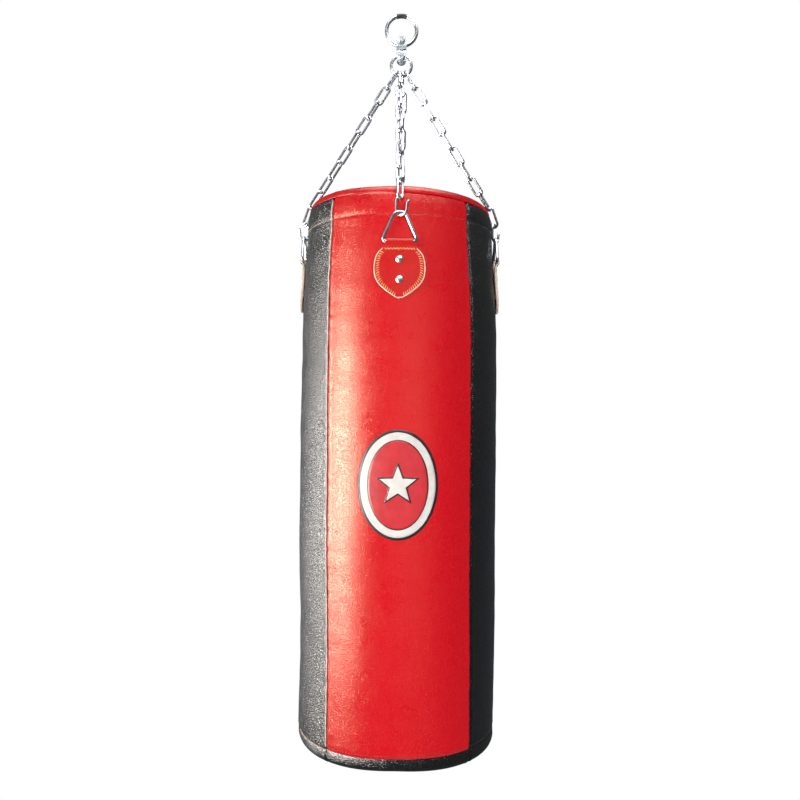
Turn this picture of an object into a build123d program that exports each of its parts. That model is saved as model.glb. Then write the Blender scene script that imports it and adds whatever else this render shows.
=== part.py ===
from build123d import *
import math
import os

# Hanging punching bag: a four-panel leather bag, hung by four chains from a ring, a jaw swivel and
# a second ring that goes over a ceiling hook. Millimetres. +Z is up, -Y is the bag's front, and the
# origin is where the hook bears on the sleeve inside the top of the hanging ring.

# ---- driving dimensions -------------------------------------------------------------------------
HANG_WIRE = 6.0                 # hanging ring, welded round wire
HANG_INNER_R = 23.0
SLEEVE_WALL = 0.8               # rubber sleeve on the top of the hanging ring
SLEEVE_LENGTH = 17.0
CHAIN_RING_WIRE = 5.0           # small ring that gathers the four chains
CHAIN_RING_INNER_R = 15.0

BOLT_R = 3.0                    # M6 bolts through the swivel jaws
BOLT_HEAD_AF = 10.0
BOLT_HEAD_H = 4.0
NUT_H = 5.0
JAW_PLATE = 3.0                 # strip that the jaws are bent from
UPPER_JAW_W = 17.0
UPPER_JAW_GAP = 11.0            # between the ears
UPPER_JAW_DROP = 11.5           # bolt axis down to the base plate
LOWER_JAW_W = 16.0
LOWER_JAW_GAP = 7.8
LOWER_JAW_RISE = 10.3           # bolt axis up to the base plate
PIN_R = 3.5
PIN_HEAD_R = 5.5
PIN_HEAD_H = 2.0
WASHER_R = 6.5
WASHER_H = 1.0
TOUCH = 0.3                     # left between parts of two bodies that bear on each other
RUN = 0.06                      # running clearance of a shaft in its hole

LINK_WIRE = 4.0
LINK_INNER_L = 31.1
LINK_INNER_W = 8.0
LINKS = 10                      # in each chain
RING_SEAT = 2.5                 # front and back chains sit this far each side of the ring's bottom
SEAT_PLAY = 0.25                # slack of the first link on the ring

HOOK_WIRE = 4.0
HOOK_TURN = 38.0                # hook plane, turned from the bag's surface, in degrees
HOOK_TOP_BEND = 7.0
HOOK_LOBE = 10.0
HOOK_H = 29.6                   # between the wire centres of its top and its lowest point

DRING_WIRE = 5.0
DRING_HALF_W = 24.6             # wire centre, at the base bar
DRING_H = 44.0
DRING_TOP_BEND = 12.0
DRING_CORNER = 5.0

LEATHER = 2.2
STRAP_LEATHER = 2.6
STRAP_FOLD_W = 42.0
STRAP_HALF_W = 39.0
RIVET_R = 2.0
RIVET_HEAD_R = 6.0
RIVET_HEAD_H = 3.2
HEM_BAND = 1.5                  # webbing band sewn inside the hem, which the rivets go through
BURR_H = 1.2
BURR_R = 5.5
RED_PANEL_ARC = 85.0            # degrees of the red panels; the black ones take the rest
PANEL_TURN = 0.9                # degrees that the sewn skin sits round from the straps

# Wall of the bag, its outer face: (radius, z), from the shoulder down to the bottom seam.
WALL = [(151.5, -351.0), (154.5, -362.0), (155.5, -380.0), (157.0, -405.0), (159.5, -440.0),
        (162.5, -490.0), (164.5, -545.0), (165.5, -720.0), (164.5, -1000.0), (164.5, -1192.5)]
SHOULDER_R = 9.0                # rounding of the top edge
BOTTOM_Z = -1219.5
BOTTOM_ROUND = 24.0
BINDING = 1.6                   # leather strip folded over the top edge
GAP = 0.1                       # between sewn or stacked layers

ZIP_L = 230.0                   # slit in the lid
ZIP_SLOT_W = 13.0
COIL_W = 2.8
COIL_H = 2.6
TAPE_W = 13.0
TAPE_T = 1.0
SLIDER_L = 13.0
SLIDER_W = 9.6
SLIDER_H = 4.0
SLIDER_START = -100.0
BAIL_R = 3.6
BAIL_WIRE = 0.8
TAB_L = 30.0
TAB_W = 9.0
TAB_T = 1.3

FOAM_T = 14.0
FOAM_CLEAR = 7.5                # room for the hem band and the rivet tails
FOAM_BEHIND = 2.6               # room between the leather and the foam, where the leather has slack
PATCH_W = 112.0
PATCH_H = 164.0
PATCH_T = 0.8
PATCH_Z = -785.0

# ---- places worked out from them ----------------------------------------------------------------
hang_r = HANG_INNER_R + HANG_WIRE / 2
hang_z = SLEEVE_WALL - HANG_INNER_R
upper_bolt_z = hang_z - HANG_INNER_R + TOUCH + BOLT_R
upper_plate_top = upper_bolt_z - UPPER_JAW_DROP
upper_plate_low = upper_plate_top - JAW_PLATE
washer_top = upper_plate_low - RUN
lower_plate_top = washer_top - WASHER_H - RUN
lower_plate_low = lower_plate_top - JAW_PLATE
lower_bolt_z = lower_plate_low - LOWER_JAW_RISE
chain_ring_r = CHAIN_RING_INNER_R + CHAIN_RING_WIRE / 2
chain_ring_z = lower_bolt_z + BOLT_R + TOUCH - CHAIN_RING_INNER_R

STATIONS = {"front": 0.0, "right": 90.0, "back": 180.0, "left": 270.0}
last_link_top = (154.3, -331.0)         # lower end of the last but one link: (radius, z)
hook_top = (163.1, -356.0)              # wire centre of the hook's top: (radius, z)
dring_top_z = hook_top[1] - HOOK_H + HOOK_WIRE / 2 + DRING_WIRE / 2 + TOUCH
dring_bar_z = dring_top_z - DRING_H
hook_turn = math.radians(HOOK_TURN)
dring_r = hook_top[0] + (HOOK_LOBE - HOOK_TOP_BEND) * math.sin(hook_turn)
stitch_z = dring_bar_z - 10.0
strap_wide_z = dring_bar_z - 42.0
strap_tip_z = dring_bar_z - 85.0
rivet_zs = (dring_bar_z - 26.0, dring_bar_z - 56.5)
shoulder_centre = (WALL[0][0] - SHOULDER_R, WALL[0][1])
lid_top = WALL[0][1] + SHOULDER_R
lid_r = shoulder_centre[0]
zip_z = lid_top - LEATHER - 0.2
pull_z = zip_z + SLIDER_H + 1.65        # axis of the tab on the slider's bail
foam_step_z = strap_tip_z - 6.0
foam_top = lid_top - 24.0
foam_low = WALL[-1][1] - 2.0
sack_r = WALL[2][0] - FOAM_CLEAR - FOAM_T - 0.5
# The right-hand seat on the chain ring lies in line with its chain.
side_seat_angle = math.atan2(last_link_top[0], chain_ring_z - last_link_top[1])


def save(node, *solids):
    """Writes one sub-part, of one solid or several."""
    export_step(solids[0] if len(solids) == 1 else Compound(children=list(solids)), f"parts/{node}.step")


def wall_radius(z):
    """Radius of the bag's outer face at a height."""
    for (r0, z0), (r1, z1) in zip(WALL, WALL[1:]):
        if z1 <= z <= z0:
            return r0 + (r1 - r0) * (z0 - z) / (z0 - z1)
    return WALL[0][0] if z > WALL[0][1] else WALL[-1][0]


def turned(*corners):
    """Solid of revolution about Z from an outline of straight runs: (radius, z) corners."""
    return revolve(Plane.XZ * make_face(Polyline(*corners, close=True)), Axis.Z)


def wall_layer(inner, outer, top, bottom):
    """Shell that follows the wall, between two offsets from its outer face."""
    levels = [top] + [z for _, z in WALL if bottom < z < top] + [bottom]
    outside = [(wall_radius(z) + outer, z) for z in levels]
    inside = [(wall_radius(z) + inner, z) for z in reversed(levels)]
    return turned(*outside, *inside)


def rod(radius, length, start, direction):
    """Round bar from a start point along a direction."""
    return Plane(origin=start, z_dir=direction) * extrude(Circle(radius), length)


def at_station(shape, name):
    """Turns a piece made at the front round to its side of the bag."""
    return Rot(0, 0, STATIONS[name]) * shape


# ---- hanging ring and its sleeve ----------------------------------------------------------------
def hanging_ring():
    return Pos(0, 0, hang_z) * Rot(90, 0, 0) * Torus(hang_r, HANG_WIRE / 2)


def ring_sleeve():
    inner = HANG_WIRE / 2 + GAP / 2
    arc = math.degrees(SLEEVE_LENGTH / hang_r)
    section = Plane.XZ * (Pos(hang_r, 0) * (Circle(inner + SLEEVE_WALL - GAP / 2) - Circle(inner)))
    sleeve = revolve(section, Axis.Z, arc)
    return Pos(0, 0, hang_z) * Rot(90, 0, 0) * Rot(0, 0, 90 - arc / 2) * sleeve


# ---- jaw swivel ---------------------------------------------------------------------------------
def jaw(width, gap, depth, up):
    """U-shaped jaw, its bolt axis at the origin: base plate `depth` away, ears rounded round the bolt."""
    half = gap / 2
    outside = half + JAW_PLATE
    base = depth + JAW_PLATE
    tall = base + width / 2
    u_shape = Pos(0, (tall / 2) - base) * Rectangle(2 * outside, tall)
    u_shape = fillet(u_shape.vertices().group_by(Axis.Y)[0], JAW_PLATE + 1)
    hollow = Pos(0, tall / 2 - depth) * Rectangle(gap, tall)
    hollow = fillet(hollow.vertices().group_by(Axis.Y)[0], 1.2)
    bent = extrude(Plane.YZ * (u_shape - hollow), width / 2, both=True)
    ear_plan = Pos(0, -base / 2) * Rectangle(width, base) + Circle(width / 2)
    bent &= extrude(Plane.XZ * ear_plan, outside + 1, both=True)
    bent -= extrude(Plane.XZ * Circle(BOLT_R + RUN), outside + 1, both=True)
    bent -= extrude(Plane.XY * Circle(PIN_R + (0 if up else RUN)), 2 * tall, both=True)
    top, low = -depth - 2 * RUN, -depth - PIN_HEAD_H - 2 * RUN
    bent -= turned((0, 1 - depth), (PIN_HEAD_R, 1 - depth), (PIN_HEAD_R, top), (PIN_R, low), (0, low))
    return bent if up else Rot(180, 0, 0) * bent


def jaw_bolt(gap, z):
    """Hexagon bolt through a jaw: head at the front, thread end just past the nut."""
    outside = gap / 2 + JAW_PLATE
    head = Plane.XZ * extrude(RegularPolygon(BOLT_HEAD_AF / 2, 6, major_radius=False), BOLT_HEAD_H)
    head = chamfer(head.edges().group_by(Axis.Y)[0], 0.7)
    shank = rod(BOLT_R, 2 * outside + NUT_H + 2.0, (0, 0, 0), (0, 1, 0))
    shank = chamfer(shank.edges().group_by(Axis.Y)[-1], 0.8)
    return Pos(0, -outside - RUN, z) * (head + shank)


def jaw_nut(gap, z):
    outside = gap / 2 + JAW_PLATE
    nut = extrude(RegularPolygon(BOLT_HEAD_AF / 2, 6, major_radius=False), NUT_H)
    nut = chamfer(nut.edges().group_by(Axis.Z)[-1], 0.7)
    nut -= extrude(Circle(BOLT_R + RUN), NUT_H)
    return Pos(0, outside + RUN, z) * Rot(-90, 0, 0) * nut


def swivel_pin():
    """Pin riveted flush in the upper jaw; its lower head carries the lower jaw."""
    top = upper_plate_top - 0.02
    low = lower_plate_low + RUN
    return turned((0, top), (PIN_HEAD_R - RUN, top), (PIN_R - 0.02, top - PIN_HEAD_H),
                  (PIN_R - 0.02, low + PIN_HEAD_H), (PIN_HEAD_R - RUN, low), (0, low))


def swivel_washer():
    ring = extrude(Circle(WASHER_R) - Circle(PIN_R + RUN), WASHER_H)
    return Pos(0, 0, washer_top - WASHER_H) * ring


def chain_ring():
    return Pos(0, 0, chain_ring_z) * Rot(90, 0, 0) * Torus(chain_ring_r, CHAIN_RING_WIRE / 2)


# ---- chains -------------------------------------------------------------------------------------
def chain_link():
    """One welded link, long axis along X, lying in the XY plane."""
    width = LINK_INNER_W + LINK_WIRE
    length = LINK_INNER_L + LINK_WIRE
    path = SlotCenterToCenter(length - width, width).wire()
    return sweep(Plane(origin=path @ 0, z_dir=path % 0) * Circle(LINK_WIRE / 2), path=path)


def seat_on_ring(name):
    """Wire centre of the chain ring where a chain hangs, and the wire's direction there."""
    side = {"front": -1, "back": 1}.get(name)
    if side:
        angle = math.asin(side * RING_SEAT / chain_ring_r)
    else:
        angle = side_seat_angle * (1 if name == "right" else -1)
    place = Vector(chain_ring_r * math.sin(angle), 0, chain_ring_z - chain_ring_r * math.cos(angle))
    return place, Vector(math.cos(angle), 0, math.sin(angle))


def chain(name):
    """Ten links: nine in a straight line from the ring, the last one over the bag's shoulder."""
    out = Vector(0, -1, 0).rotate(Axis.Z, STATIONS[name])
    along = Vector(1, 0, 0).rotate(Axis.Z, STATIONS[name])
    seat, seat_tangent = seat_on_ring(name)
    bend = out * last_link_top[0] + Vector(0, 0, last_link_top[1])
    end = out * hook_top[0] + Vector(0, 0, hook_top[1])
    length = LINK_INNER_L + LINK_WIRE
    first_reach = length - LINK_WIRE / 2 - CHAIN_RING_WIRE / 2 - SEAT_PLAY
    reach = (bend - seat).length
    play = (first_reach + (LINKS - 2) * LINK_INNER_L - reach) / (LINKS - 1)
    last_play = (LINK_INNER_L - LINK_WIRE / 2 - HOOK_WIRE / 2 - (end - bend).length) / 2
    down = (bend - seat).normalized()
    last_down = (end - bend).normalized()
    hook_dir = along * math.cos(hook_turn) + out * math.sin(hook_turn)
    start = (seat_tangent - down * seat_tangent.dot(down)).normalized()
    finish = (hook_dir - last_down * hook_dir.dot(last_down)).normalized()
    lean = finish - down * finish.dot(down)
    whole = math.degrees(math.atan2(lean.dot(down.cross(start)), lean.dot(start)))
    spare = (whole - 90 * (LINKS - 1)) % 180
    twist = (spare - 180 if spare > 90 else spare) / (LINKS - 1)
    links = []
    for number in range(LINKS):
        last = number == LINKS - 1
        heading = last_down if last else down
        normal = finish if last else start.rotate(Axis((0, 0, 0), tuple(down)), (90 + twist) * number)
        if last:
            top = bend - heading * (LINK_WIRE + last_play)
        else:
            above = LINK_WIRE / 2 + CHAIN_RING_WIRE / 2 + play + SEAT_PLAY
            top = seat + heading * (number * (LINK_INNER_L - play) - above)
        middle = top + heading * (length / 2)
        links.append(Plane(origin=middle, x_dir=heading, z_dir=normal) * chain_link())
    return links


# ---- hooks, D-rings, straps and rivets, made at the front ----------------------------------------
def hook():
    """Open wire hook: over the last link at its top, under the D-ring, its free end outwards."""
    low = -HOOK_H + HOOK_LOBE
    shift = HOOK_LOBE - HOOK_TOP_BEND
    cos45 = math.cos(math.radians(45))
    over = ThreePointArc((HOOK_TOP_BEND * cos45, HOOK_TOP_BEND * (cos45 - 1)), (0, 0),
                         (-HOOK_TOP_BEND, -HOOK_TOP_BEND))
    side = Line((-HOOK_TOP_BEND, -HOOK_TOP_BEND), (-HOOK_TOP_BEND, low))
    lobe = ThreePointArc((-HOOK_TOP_BEND, low), (shift, -HOOK_H), (shift + HOOK_LOBE, low))
    tip = JernArc((shift + HOOK_LOBE, low), (0, 1), 16, -32)
    across = (math.cos(hook_turn), -math.sin(hook_turn), 0)
    normal = (-math.sin(hook_turn), -math.cos(hook_turn), 0)
    path = Wire([over.edge(), side.edge(), lobe.edge(), tip.edge()])
    bar = sweep(Plane(origin=path @ 0, z_dir=path % 0) * Circle(HOOK_WIRE / 2), path=path)
    bar += Pos(*(path @ 0)) * Sphere(HOOK_WIRE / 2)
    bar += Pos(*(path @ 1)) * Sphere(HOOK_WIRE / 2)
    return Plane(origin=(0, -hook_top[0], hook_top[1]), x_dir=across, z_dir=normal) * bar


def d_ring():
    """Round wire bent to a triangle with a wide round top and small corners at its base bar."""
    top_centre = Vector(0, DRING_H - DRING_TOP_BEND)
    corner_centre = Vector(DRING_HALF_W - DRING_CORNER, DRING_CORNER)
    between = corner_centre - top_centre
    slant = math.acos((DRING_TOP_BEND - DRING_CORNER) / between.length)
    facing = math.atan2(between.Y, between.X) + slant
    half_way = (facing - math.pi / 2) / 2
    normal = Vector(math.cos(facing), math.sin(facing))
    side_top = top_centre + normal * DRING_TOP_BEND
    side_low = corner_centre + normal * DRING_CORNER
    corner = corner_centre + Vector(math.cos(half_way), math.sin(half_way)) * DRING_CORNER
    base = Vector(corner_centre.X, 0)

    def mirrored(point):
        return Vector(-point.X, point.Y)

    bends = [ThreePointArc(mirrored(side_top), (0, DRING_H), side_top), Line(side_top, side_low),
             ThreePointArc(side_low, corner, base), Line(base, mirrored(base)),
             ThreePointArc(mirrored(base), mirrored(corner), mirrored(side_low)),
             Line(mirrored(side_low), mirrored(side_top))]
    path = Wire([bend.edge() for bend in bends])
    ring = sweep(Plane(origin=path @ 0, z_dir=path % 0) * Circle(DRING_WIRE / 2), path=path)
    return Plane(origin=(0, -dring_r, dring_bar_z), x_dir=(1, 0, 0), z_dir=(0, -1, 0)) * ring


def rivet_bores(radius):
    """Round bars on both rivet axes, for the holes."""
    return [rod(radius, 60.0, (0, -130, z), (0, -1, 0)) for z in rivet_zs]


def strap():
    """Leather tab folded round the D-ring's bar: a spade-shaped front leaf over a narrow back leaf."""
    tip, wide, top = strap_tip_z, strap_wide_z, stitch_z + 4.0
    half_top = STRAP_FOLD_W / 2 + 8.0
    right = ThreePointArc((half_top, top), (STRAP_HALF_W - 2.0, wide + 18.0), (STRAP_HALF_W, wide))
    low_right = ThreePointArc((STRAP_HALF_W, wide), (STRAP_HALF_W * 0.76, wide - 27.0), (5.0, tip + 1.0))
    point = ThreePointArc((5.0, tip + 1.0), (0, tip), (-5.0, tip + 1.0))
    low_left = ThreePointArc((-5.0, tip + 1.0), (-STRAP_HALF_W * 0.76, wide - 27.0), (-STRAP_HALF_W, wide))
    left = ThreePointArc((-STRAP_HALF_W, wide), (2.0 - STRAP_HALF_W, wide + 18.0), (-half_top, top))
    shoulder = Line((-half_top, top), (half_top, top))
    spade = make_face([right.edge(), low_right.edge(), point.edge(), low_left.edge(), left.edge(),
                       shoulder.edge()])
    layer = STRAP_LEATHER + GAP / 2
    front_shell = wall_layer(layer, 2 * layer, top, tip - 1)
    front_leaf = front_shell & (Plane.XZ * extrude(spade, 250))
    back_leaf = wall_layer(GAP, layer, stitch_z + 6.0, tip + 22.0)
    back_leaf &= Pos(0, -150, (stitch_z + tip) / 2) * Box(STRAP_FOLD_W, 60, 120)
    bore = DRING_WIRE / 2 + GAP
    wrap = bore + STRAP_LEATHER
    fold_low = stitch_z + 1.0
    inner_y, outer_y = wall_radius(fold_low) + GAP, wall_radius(fold_low) + 2 * layer
    outline = Polyline((dring_r - wrap, dring_bar_z), (inner_y, fold_low + 4), (inner_y, fold_low - 2),
                       (outer_y, fold_low - 2), (dring_r + wrap, dring_bar_z))
    over = ThreePointArc((dring_r + wrap, dring_bar_z), (dring_r, dring_bar_z + wrap),
                         (dring_r - wrap, dring_bar_z))
    side_view = make_face([*outline.edges(), over.edge()]) - Pos(dring_r, dring_bar_z) * Circle(bore)
    facing = Plane(origin=(0, 0, 0), x_dir=(0, -1, 0), z_dir=(1, 0, 0))
    fold = extrude(facing * side_view, STRAP_FOLD_W / 2, both=True)
    leaves = (front_leaf + back_leaf + fold).solids().sort_by(SortBy.VOLUME)[-1]
    for bar in rivet_bores(RIVET_R + GAP / 2):
        leaves -= bar
    return leaves


def rivets():
    """Two domed rivets through strap, panel and hem band."""
    made = []
    dome_r = (RIVET_HEAD_R ** 2 + RIVET_HEAD_H ** 2) / (2 * RIVET_HEAD_H)
    for z in rivet_zs:
        face = wall_radius(z - RIVET_HEAD_R) + 2 * STRAP_LEATHER + 3 * GAP
        tail = wall_radius(z) - LEATHER - HEM_BAND - BURR_H - 4 * GAP - 1.0
        dome = RadiusArc((RIVET_HEAD_R, 0), (0, RIVET_HEAD_H), -dome_r)
        body = Polyline((0, RIVET_HEAD_H), (0, tail - face), (RIVET_R, tail - face), (RIVET_R, 0),
                        (RIVET_HEAD_R, 0))
        rivet = revolve(Plane.XZ * make_face([dome.edge(), *body.edges()]), Axis.Z)
        made.append(Plane(origin=(0, -face, z), z_dir=(0, -1, 0)) * rivet)
    return made


def burrs():
    """Washers that the rivets are closed over, inside the bag."""
    made = []
    for z in rivet_zs:
        face = wall_radius(z) - LEATHER - HEM_BAND - 3 * GAP - 1.2
        ring = extrude(Circle(BURR_R) - Circle(RIVET_R + RUN), BURR_H)
        made.append(Plane(origin=(0, -face + BURR_H, z), z_dir=(0, -1, 0)) * ring)
    return made


# ---- bag ----------------------------------------------------------------------------------------
def shell_outline():
    """Half section of the side wall: the rounded shoulder, then the wall down to the bottom seam."""
    (cr, cz), low = shoulder_centre, WALL[-1][1]
    diagonal = math.cos(math.radians(45))
    inner = SHOULDER_R - LEATHER
    outer_arc = ThreePointArc((cr, cz + SHOULDER_R),
                              (cr + SHOULDER_R * diagonal, cz + SHOULDER_R * diagonal),
                              (cr + SHOULDER_R, cz))
    inner_arc = ThreePointArc((cr + inner, cz), (cr + inner * diagonal, cz + inner * diagonal),
                              (cr, cz + inner))
    outside = Polyline(*WALL)
    inside = Polyline(*[(r - LEATHER, z) for r, z in reversed(WALL)])
    foot = Line((WALL[-1][0], low), (WALL[-1][0] - LEATHER, low))
    head = Line((cr, cz + inner), (cr, cz + SHOULDER_R))
    return make_face([outer_arc.edge(), *outside.edges(), foot.edge(), *inside.edges(), inner_arc.edge(),
                      head.edge()])


def panel(name):
    """One of the four side panels, with the rivet holes of its strap."""
    arc = RED_PANEL_ARC if name in ("front", "back") else 180 - RED_PANEL_ARC
    slit = math.degrees(GAP / WALL[-1][0])
    made = revolve(Plane.XZ * shell_outline(), Axis.Z, arc - slit)
    made = Rot(0, 0, PANEL_TURN - 90 - (arc - slit) / 2) * made
    for bar in rivet_bores(RIVET_R + GAP / 2):
        made -= bar
    return at_station(made, name)


def bottom_cap():
    """Black bottom: a cup whose rim is sewn to the panels."""
    edge, low = WALL[-1][0], WALL[-1][1] - GAP
    r, t = BOTTOM_ROUND, LEATHER
    diagonal = math.cos(math.radians(45))
    centre = (edge - r, BOTTOM_Z + r + 1.5)

    def arc(radius):
        return ThreePointArc((centre[0] + radius, centre[1]),
                             (centre[0] + radius * diagonal, centre[1] - radius * diagonal),
                             (centre[0], centre[1] - radius)).edge()

    outer, inner = arc(r), arc(r - t)
    rim = Polyline((edge - t, centre[1]), (edge - t, low), (edge, low), (edge, centre[1]))
    floor = Polyline((centre[0], centre[1] - r), (0, BOTTOM_Z), (0, BOTTOM_Z + t),
                     (centre[0], centre[1] - r + t))
    outline = [*rim.edges(), outer, *floor.edges(), inner]
    return revolve(Plane.XZ * make_face(outline), Axis.Z)


def rim_binding():
    """Red strip folded over the shoulder, from the outside of the wall to the lid."""
    cr, cz = shoulder_centre
    inner, outer = SHOULDER_R + GAP, SHOULDER_R + GAP + BINDING
    diagonal = math.cos(math.radians(45))
    over = ThreePointArc((cr + outer, cz), (cr + outer * diagonal, cz + outer * diagonal), (cr, cz + outer))
    under = ThreePointArc((cr, cz + inner), (cr + inner * diagonal, cz + inner * diagonal), (cr + inner, cz))
    lip = cr - 7.0
    edge = Polyline((cr, cz + outer), (lip, cz + outer), (lip, cz + inner), (cr, cz + inner))
    outline = [over.edge(), *edge.edges(), under.edge(), Line((cr + inner, cz), (cr + outer, cz)).edge()]
    return revolve(Plane.XZ * make_face(outline), Axis.Z)


def lid():
    """Red leather disc that closes the top, slit for the zip."""
    disc = Pos(0, 0, lid_top - LEATHER / 2) * Cylinder(lid_r - GAP, LEATHER)
    return disc - Pos(0, 0, lid_top) * extrude(SlotOverall(ZIP_L, ZIP_SLOT_W), 2 * LEATHER, both=True)


def zip_tapes():
    """Woven tapes under the lid, one each side of the coils."""
    mid = COIL_W + GAP + TAPE_W / 2
    return [Pos(0, s * mid, zip_z - TAPE_T / 2) * Box(ZIP_L + 24, TAPE_W, TAPE_T) for s in (-1, 1)]


def zip_coils():
    """The two halves of the zip, closed, as a bar each."""
    mid = GAP / 2 + COIL_W / 2
    return [Pos(0, s * mid, zip_z - TAPE_T / 2) * Box(ZIP_L - 6, COIL_W, COIL_H) for s in (-1, 1)]


def zip_slider():
    """Slider: a channel over the coils with a bail for the pull."""
    floor = zip_z + 0.3
    body = Pos(0, 0, floor + SLIDER_H / 2) * Box(SLIDER_L, SLIDER_W, SLIDER_H)
    body = fillet(body.edges().filter_by(Axis.Z), 2.0)
    body -= Pos(0, 0, floor) * Box(SLIDER_L + 2, 2 * COIL_W + 1.0, 2 * (COIL_H / 2 + 0.4))
    half_ring = Torus(BAIL_R, BAIL_WIRE) - Pos(0, -5, 0) * Box(12, 10, 4)
    bail = Pos(0, 0, floor + SLIDER_H) * Rot(90, 0, 0) * half_ring
    return Pos(SLIDER_START, 0, 0) * (body + bail)


def zip_pull():
    """Flat tab threaded on the slider's bail, lying along the zip."""
    plate = Pos(TAB_L / 2 - 1.1, 0) * SlotOverall(TAB_L, TAB_W)
    plate -= Pos(3.3, 0) * SlotOverall(4.2, 3.2)
    return Pos(SLIDER_START, 0, pull_z) * extrude(plate, TAB_T / 2, both=True)


def hem_band():
    """Webbing inside the panels, behind the four straps."""
    band = wall_layer(-LEATHER - GAP - HEM_BAND, -LEATHER - GAP, rivet_zs[0] + 14.0, rivet_zs[1] - 14.0)
    for turn in STATIONS.values():
        for bar in rivet_bores(RIVET_R + GAP / 2):
            band -= Rot(0, 0, turn) * bar
    return band


def foam_wall():
    """Foam sheet round the filling, behind the leather."""
    top = wall_radius(foam_top) - FOAM_CLEAR
    step = wall_radius(foam_step_z)
    belly = WALL[7]
    back = LEATHER + FOAM_BEHIND
    return turned((top, foam_top), (step - FOAM_CLEAR, foam_step_z), (step - back, foam_step_z),
                  (belly[0] - back, belly[1]), (WALL[-1][0] - back, foam_low),
                  (sack_r + 0.3, foam_low), (sack_r + 0.3, foam_top))


def inner_sack():
    """Canvas sack that holds the filling, open at the top."""
    top, low, t = foam_top - 4.0, foam_low + 1.0, 1.0
    return turned((sack_r, top), (sack_r, low), (0, low), (0, low + t), (sack_r - t, low + t),
                  (sack_r - t, top))


def filling():
    """Shredded textile, packed into the sack."""
    top, low = foam_top - 6.0, foam_low + 2.2
    return Pos(0, 0, (top + low) / 2) * Cylinder(sack_r - 1.2, top - low)


def base_pad():
    """Foam disc in the bottom cap."""
    top, low = foam_low - 0.4, BOTTOM_Z + LEATHER + 2.0
    return Pos(0, 0, (top + low) / 2) * Cylinder(WALL[-1][0] - BOTTOM_ROUND, top - low)


def top_pad():
    """Foam disc under the lid."""
    top, low = zip_z - COIL_H - 1.0, foam_top + 0.5
    return Pos(0, 0, (top + low) / 2) * Cylinder(shoulder_centre[0] - 2.0, top - low)


def emblem_patch():
    """Plain oval vinyl patch on the front panel."""
    oval = Plane.XZ * extrude(Pos(0, PATCH_Z) * Ellipse(PATCH_W / 2, PATCH_H / 2), 250)
    layer = wall_layer(GAP, GAP + PATCH_T, PATCH_Z + PATCH_H / 2 + 5, PATCH_Z - PATCH_H / 2 - 5)
    return (layer & oval).solids().sort_by(Axis.Y)[0]


# ---- build --------------------------------------------------------------------------------------
os.makedirs("parts", exist_ok=True)
save("hanging_ring", hanging_ring())
save("ring_sleeve", ring_sleeve())
save("upper_jaw", Pos(0, 0, upper_bolt_z) * jaw(UPPER_JAW_W, UPPER_JAW_GAP, UPPER_JAW_DROP, True))
save("upper_bolt", jaw_bolt(UPPER_JAW_GAP, upper_bolt_z))
save("upper_nut", jaw_nut(UPPER_JAW_GAP, upper_bolt_z))
save("swivel_pin", swivel_pin())
save("swivel_washer", swivel_washer())
save("lower_jaw", Pos(0, 0, lower_bolt_z) * jaw(LOWER_JAW_W, LOWER_JAW_GAP, LOWER_JAW_RISE, False))
save("lower_bolt", jaw_bolt(LOWER_JAW_GAP, lower_bolt_z))
save("lower_nut", jaw_nut(LOWER_JAW_GAP, lower_bolt_z))
save("chain_ring", chain_ring())
for station in STATIONS:
    save(f"chain_{station}", *chain(station))
    save(f"hook_{station}", at_station(hook(), station))
    save(f"d_ring_{station}", at_station(d_ring(), station))
    save(f"strap_{station}", at_station(strap(), station))
    save(f"rivets_{station}", *[at_station(piece, station) for piece in rivets()])
    save(f"burrs_{station}", *[at_station(piece, station) for piece in burrs()])
    save(f"panel_{station}", panel(station))
save("bottom_cap", bottom_cap())
save("rim_binding", rim_binding())
save("lid", lid())
save("zip_tapes", *zip_tapes())
save("zip_coils", *zip_coils())
save("zip_slider", zip_slider())
save("zip_pull", zip_pull())
save("hem_band", hem_band())
save("foam_wall", foam_wall())
save("inner_sack", inner_sack())
save("filling", filling())
save("base_pad", base_pad())
save("top_pad", top_pad())
save("emblem_patch", emblem_patch())
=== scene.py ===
import math

import bmesh
import bpy
from mathutils import Matrix, Vector, noise


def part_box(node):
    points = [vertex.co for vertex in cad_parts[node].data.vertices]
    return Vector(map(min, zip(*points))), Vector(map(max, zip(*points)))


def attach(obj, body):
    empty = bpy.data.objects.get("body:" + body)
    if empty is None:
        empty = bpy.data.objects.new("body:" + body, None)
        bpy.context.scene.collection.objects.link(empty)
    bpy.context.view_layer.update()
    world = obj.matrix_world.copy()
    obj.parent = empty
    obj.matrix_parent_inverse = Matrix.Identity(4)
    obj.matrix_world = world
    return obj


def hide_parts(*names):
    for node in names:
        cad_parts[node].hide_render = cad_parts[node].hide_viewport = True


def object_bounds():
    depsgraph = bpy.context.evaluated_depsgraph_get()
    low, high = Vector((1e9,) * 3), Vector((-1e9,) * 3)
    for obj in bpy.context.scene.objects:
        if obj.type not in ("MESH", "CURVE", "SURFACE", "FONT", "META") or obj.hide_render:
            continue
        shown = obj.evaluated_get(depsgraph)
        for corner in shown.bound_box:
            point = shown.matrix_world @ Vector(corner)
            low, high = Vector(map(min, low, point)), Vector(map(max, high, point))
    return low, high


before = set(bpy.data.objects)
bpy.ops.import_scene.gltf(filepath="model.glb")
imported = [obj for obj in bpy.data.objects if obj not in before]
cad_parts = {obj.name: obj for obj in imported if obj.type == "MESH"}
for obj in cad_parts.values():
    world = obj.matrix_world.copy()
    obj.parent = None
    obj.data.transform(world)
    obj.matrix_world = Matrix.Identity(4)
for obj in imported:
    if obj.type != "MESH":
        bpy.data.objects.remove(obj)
cad_low, cad_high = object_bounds()

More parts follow.
